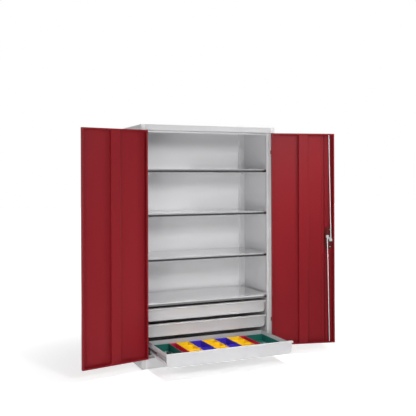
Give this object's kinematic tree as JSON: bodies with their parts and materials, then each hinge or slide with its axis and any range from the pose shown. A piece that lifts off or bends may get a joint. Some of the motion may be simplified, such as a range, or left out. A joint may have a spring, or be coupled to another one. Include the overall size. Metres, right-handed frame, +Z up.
{
  "type": "steel cabinet",
  "caption": "Tall two-door steel cabinet with adjustable shelves over a bank of drawers, one pulled out with coloured insert bins, and a rod lock in the right door.",
  "frame": {"origin": "on the floor in the middle of the plinth's foot, 12.5 mm behind the cabinet's front", "axes": "+X to the right seen from the front, +Y to the back, +Z up"},
  "size_m": [2.2218, 1.013, 1.95],
  "materials": {
    "body_grey": "satin powder coat",
    "shelf_zinc": "galvanised",
    "zinc": "galvanised",
    "door_red": "satin powder coat",
    "lock_steel": "zinc plated",
    "black_plastic": "moulded",
    "cup_plastic": "moulded",
    "nickel": "polished",
    "green_plastic": "moulded",
    "red_plastic": "moulded",
    "yellow_plastic": "moulded",
    "blue_plastic": "moulded"
  },
  "bodies": {
    "cabinet": {"left_side_wall": "body_grey", "right_side_wall": "body_grey", "back_panel": "body_grey", "roof": "body_grey", "roof_fascia": "body_grey", "plinth": "body_grey", "floor_plate": "body_grey", "left_rear_rail": "body_grey", "right_rear_rail": "body_grey", "left_front_rail": "body_grey", "right_front_rail": "body_grey", "shelf_1": "shelf_zinc", "shelf_2": "shelf_zinc", "shelf_3": "shelf_zinc", "shelf_4": "shelf_zinc", "shelf_clips": "zinc", "left_runner_panel": "body_grey", "right_runner_panel": "body_grey", "outer_runners": "zinc", "hinge_brackets": "zinc", "hinge_pins": "zinc"},
    "left_door": {"left_door_panel": "door_red", "left_door_stiffener": "door_red", "left_door_knuckles": "door_red"},
    "right_door": {"right_door_panel": "door_red", "right_door_stiffener": "door_red", "right_door_knuckles": "door_red", "lock_strip": "door_red", "handle_cup": "cup_plastic", "upper_rod_guide": "black_plastic", "lower_rod_guide": "black_plastic"},
    "lock_handle": {"door_handle": "black_plastic", "lock_spindle": "lock_steel", "lock_cam": "lock_steel"},
    "key_barrel": {"key_plug": "nickel"},
    "upper_lock_rod": {"upper_rod": "lock_steel"},
    "lower_lock_rod": {"lower_rod": "lock_steel"},
    "drawer_1": {"drawer_1_tray": "body_grey", "drawer_1_front": "body_grey", "drawer_1_inner_runners": "zinc"},
    "drawer_1_middle": {"drawer_1_middle_runners": "zinc"},
    "drawer_2": {"drawer_2_tray": "body_grey", "drawer_2_front": "body_grey", "drawer_2_inner_runners": "zinc"},
    "drawer_2_middle": {"drawer_2_middle_runners": "zinc"},
    "drawer_3": {"drawer_3_tray": "body_grey", "drawer_3_front": "body_grey", "drawer_3_inner_runners": "zinc", "green_bins": "green_plastic", "red_bins": "red_plastic", "yellow_bins": "yellow_plastic", "blue_bins": "blue_plastic"},
    "drawer_3_middle": {"drawer_3_middle_runners": "zinc"}
  },
  "joints": [
    {"name": "left_door_hinge", "type": "hinge", "parent": "cabinet", "child": "left_door", "pos_m": [-0.5635, -0.0183, 0.309], "axis": [0, 0, -1], "range_deg": [-73, 12]},
    {"name": "right_door_hinge", "type": "hinge", "parent": "cabinet", "child": "right_door", "pos_m": [0.5635, -0.0183, 0.309], "axis": [0, 0, 1], "range_deg": [-72, 13]},
    {"name": "handle_turn", "type": "hinge", "parent": "right_door", "child": "lock_handle", "pos_m": [1.06433, -0.13392, 0.994], "axis": [-0.225, -0.9744, 0], "range_deg": [0, 90]},
    {"name": "key_turn", "type": "hinge", "parent": "lock_handle", "child": "key_barrel", "pos_m": [1.06433, -0.13392, 0.994], "axis": [-0.225, -0.9744, 0], "range_deg": [0, 90]},
    {"name": "upper_rod_slide", "type": "slide", "parent": "right_door", "child": "upper_lock_rod", "axis": [0, 0, 1], "range_m": [0, 0.0311]},
    {"name": "lower_rod_slide", "type": "slide", "parent": "right_door", "child": "lower_lock_rod", "axis": [0, 0, -1], "range_m": [0, 0.0311]},
    {"name": "drawer_1_slide", "type": "slide", "parent": "cabinet", "child": "drawer_1", "axis": [0, -1, 0], "range_m": [0, 0.475]},
    {"name": "drawer_1_middle_slide", "type": "slide", "parent": "cabinet", "child": "drawer_1_middle", "axis": [0, -1, 0], "range_m": [-0.0001, 0.2376]},
    {"name": "drawer_2_slide", "type": "slide", "parent": "cabinet", "child": "drawer_2", "axis": [0, -1, 0], "range_m": [0, 0.475]},
    {"name": "drawer_2_middle_slide", "type": "slide", "parent": "cabinet", "child": "drawer_2_middle", "axis": [0, -1, 0], "range_m": [-0.0001, 0.2376]},
    {"name": "drawer_3_slide", "type": "slide", "parent": "cabinet", "child": "drawer_3", "axis": [0, -1, 0], "range_m": [-0.463, 0.012]},
    {"name": "drawer_3_middle_slide", "type": "slide", "parent": "cabinet", "child": "drawer_3_middle", "axis": [0, -1, 0], "range_m": [-0.2316, 0.0061]}
  ],
  "couplings": [
    {"joint": "upper_rod_slide", "follows": "handle_turn", "m_per_rad": 0.019735},
    {"joint": "lower_rod_slide", "follows": "handle_turn", "m_per_rad": 0.019735},
    {"joint": "drawer_1_middle_slide", "follows": "drawer_1_slide", "ratio": 0.5},
    {"joint": "drawer_2_middle_slide", "follows": "drawer_2_slide", "ratio": 0.5},
    {"joint": "drawer_3_middle_slide", "follows": "drawer_3_slide", "ratio": 0.5}
  ]
}
